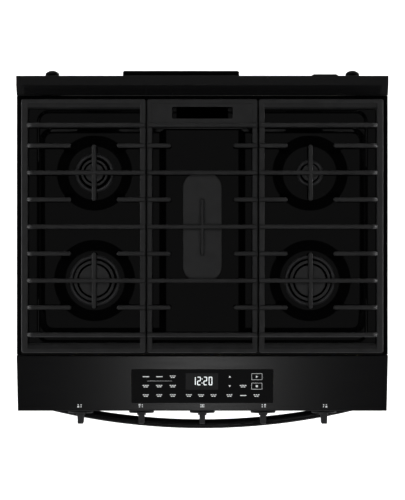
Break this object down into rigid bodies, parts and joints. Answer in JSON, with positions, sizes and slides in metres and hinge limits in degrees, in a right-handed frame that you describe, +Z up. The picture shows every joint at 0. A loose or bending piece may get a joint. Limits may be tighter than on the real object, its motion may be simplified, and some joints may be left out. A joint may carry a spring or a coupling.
{
  "type": "freestanding gas range",
  "caption": "Freestanding gas range with front knobs, sloping touch panel, oval middle burner, continuous cast-iron grates, drop-down oven door and storage drawer.",
  "frame": {"origin": "on the floor under the middle of the range's bounding box", "axes": "+X to the right for someone facing the range, -Y the front, +Z up"},
  "size_m": [0.7588, 0.7458, 0.94],
  "materials": {
    "cast_iron": "matte black enamelled iron, fine cast grain",
    "black_enamel": "glossy black porcelain enamel",
    "cap_enamel": "matte black porcelain enamel",
    "burner_aluminium": "dark cast aluminium, satin",
    "black_steel": "satin black coated steel",
    "side_paint": "semi-gloss black paint",
    "galvanised": "galvanised sheet",
    "control_glass": "opaque black glass, gloss",
    "door_glass": "black tinted glass, gloss",
    "clear_glass": "clear heat-resistant glass",
    "oven_enamel": "speckled dark blue-grey enamel, gloss",
    "rack_wire": "bright plated wire",
    "insulation": "glass wool",
    "rubber": "moulded black rubber",
    "gasket": "woven glass-fibre cord",
    "knob_finish": "satin charcoal",
    "handle_finish": "satin black",
    "brass": "machined",
    "steel": "plain steel",
    "pipe_aluminium": "drawn tube",
    "ceramic": "white glazed ceramic",
    "foot": "black nylon foot on a steel stud"
  },
  "bodies": {
    "range_body": {"side_panel_left": "side_paint", "side_panel_right": "side_paint", "back_panel": "galvanised", "rear_cover": "black_steel", "rear_bumpers": "rubber", "rear_trim": "black_enamel", "base_frame": "galvanised", "front_frame": "oven_enamel", "oven_liner": "oven_enamel", "oven_insulation": "insulation", "oven_floor": "oven_enamel", "bake_burner": "steel", "broil_burner": "steel", "convection_cover": "oven_enamel", "fan_motor": "steel", "oven_lamp": "clear_glass", "oven_probe": "steel", "flue_duct": "galvanised", "cooktop": "black_enamel", "burner_bases": "burner_aluminium", "burner_heads": "burner_aluminium", "burner_caps": "cap_enamel", "igniters": "ceramic", "manifold_pipe": "steel", "valve_bodies": "brass", "supply_tubes": "pipe_aluminium", "pressure_regulator": "pipe_aluminium", "control_panel": "black_steel", "control_glass": "control_glass", "drawer_rails": "galvanised", "screws": "steel"},
    "door": {"door_glass": "door_glass", "door_shell": "side_paint", "door_liner": "oven_enamel", "door_inner_glass": "clear_glass", "door_gasket": "gasket", "door_handle": "handle_finish", "hinge_arms": "steel"},
    "drawer": {"drawer_front": "side_paint", "drawer_box": "galvanised"},
    "rack_lower": {"oven_rack_lower": "rack_wire"},
    "rack_upper": {"oven_rack_upper": "rack_wire"},
    "fan": {"convection_fan": "steel"},
    "grate_l": {"grate_left": "cast_iron"},
    "grate_c": {"grate_center": "cast_iron"},
    "grate_r": {"grate_right": "cast_iron"},
    "stem_1": {"valve_stem_1": "steel"},
    "dial_1": {"knob_1": "knob_finish"},
    "stem_2": {"valve_stem_2": "steel"},
    "dial_2": {"knob_2": "knob_finish"},
    "stem_3": {"valve_stem_3": "steel"},
    "dial_3": {"knob_3": "knob_finish"},
    "stem_4": {"valve_stem_4": "steel"},
    "dial_4": {"knob_4": "knob_finish"},
    "stem_5": {"valve_stem_5": "steel"},
    "dial_5": {"knob_5": "knob_finish"},
    "leg_1": {"leveling_leg_1": "foot"},
    "leg_2": {"leveling_leg_2": "foot"},
    "leg_3": {"leveling_leg_3": "foot"},
    "leg_4": {"leveling_leg_4": "foot"}
  },
  "joints": [
    {"name": "door_hinge", "type": "hinge", "parent": "range_body", "child": "door", "pos_m": [0, -0.3035, 0.243], "axis": [1, 0, 0], "range_deg": [0, 90], "stiffness_Nm_per_rad": 14, "springref_deg": -34.38},
    {"name": "drawer_slide", "type": "slide", "parent": "range_body", "child": "drawer", "axis": [0, -1, 0], "range_m": [0, 0.4]},
    {"name": "rack_lower_slide", "type": "slide", "parent": "range_body", "child": "rack_lower", "axis": [0, -1, 0], "range_m": [0, 0.25]},
    {"name": "rack_upper_slide", "type": "slide", "parent": "range_body", "child": "rack_upper", "axis": [0, -1, 0], "range_m": [0, 0.25]},
    {"name": "fan_spin", "type": "hinge", "parent": "range_body", "child": "fan", "pos_m": [0, 0.19, 0.5], "axis": [0, -1, 0], "continuous": true},
    {"name": "grate_l_lift", "type": "slide", "parent": "range_body", "child": "grate_l", "axis": [0, 0, 1], "range_m": [0, 0.12]},
    {"name": "grate_c_lift", "type": "slide", "parent": "range_body", "child": "grate_c", "axis": [0, 0, 1], "range_m": [0, 0.12]},
    {"name": "grate_r_lift", "type": "slide", "parent": "range_body", "child": "grate_r", "axis": [0, 0, 1], "range_m": [0, 0.12]},
    {"name": "valve_turn_1", "type": "hinge", "parent": "range_body", "child": "stem_1", "pos_m": [-0.2522, -0.3, 0.829], "axis": [0, -1, 0], "range_deg": [0, 210]},
    {"name": "knob_push_1", "type": "slide", "parent": "stem_1", "child": "dial_1", "axis": [0, 1, 0], "range_m": [0, 0.0025], "stiffness_N_per_m": 1200, "springref_m": -0.002},
    {"name": "valve_turn_2", "type": "hinge", "parent": "range_body", "child": "stem_2", "pos_m": [-0.1261, -0.3, 0.829], "axis": [0, -1, 0], "range_deg": [0, 210]},
    {"name": "knob_push_2", "type": "slide", "parent": "stem_2", "child": "dial_2", "axis": [0, 1, 0], "range_m": [0, 0.0025], "stiffness_N_per_m": 1200, "springref_m": -0.002},
    {"name": "valve_turn_3", "type": "hinge", "parent": "range_body", "child": "stem_3", "pos_m": [0, -0.3, 0.829], "axis": [0, -1, 0], "range_deg": [0, 210]},
    {"name": "knob_push_3", "type": "slide", "parent": "stem_3", "child": "dial_3", "axis": [0, 1, 0], "range_m": [0, 0.0025], "stiffness_N_per_m": 1200, "springref_m": -0.002},
    {"name": "valve_turn_4", "type": "hinge", "parent": "range_body", "child": "stem_4", "pos_m": [0.1261, -0.3, 0.829], "axis": [0, -1, 0], "range_deg": [0, 210]},
    {"name": "knob_push_4", "type": "slide", "parent": "stem_4", "child": "dial_4", "axis": [0, 1, 0], "range_m": [0, 0.0025], "stiffness_N_per_m": 1200, "springref_m": -0.002},
    {"name": "valve_turn_5", "type": "hinge", "parent": "range_body", "child": "stem_5", "pos_m": [0.2522, -0.3, 0.829], "axis": [0, -1, 0], "range_deg": [0, 210]},
    {"name": "knob_push_5", "type": "slide", "parent": "stem_5", "child": "dial_5", "axis": [0, 1, 0], "range_m": [0, 0.0025], "stiffness_N_per_m": 1200, "springref_m": -0.002},
    {"name": "leg_turn_1", "type": "hinge", "parent": "range_body", "child": "leg_1", "pos_m": [-0.352, -0.245, 0.03], "axis": [0, 0, 1], "continuous": true},
    {"name": "leg_turn_2", "type": "hinge", "parent": "range_body", "child": "leg_2", "pos_m": [0.352, -0.245, 0.03], "axis": [0, 0, 1], "continuous": true},
    {"name": "leg_turn_3", "type": "hinge", "parent": "range_body", "child": "leg_3", "pos_m": [-0.352, 0.32, 0.03], "axis": [0, 0, 1], "continuous": true},
    {"name": "leg_turn_4", "type": "hinge", "parent": "range_body", "child": "leg_4", "pos_m": [0.352, 0.32, 0.03], "axis": [0, 0, 1], "continuous": true}
  ],
  "couplings": [
    {"joint": "rack_lower_slide", "follows": "door_hinge", "m_per_rad": 0.15915},
    {"joint": "rack_upper_slide", "follows": "door_hinge", "m_per_rad": 0.15915}
  ]
}
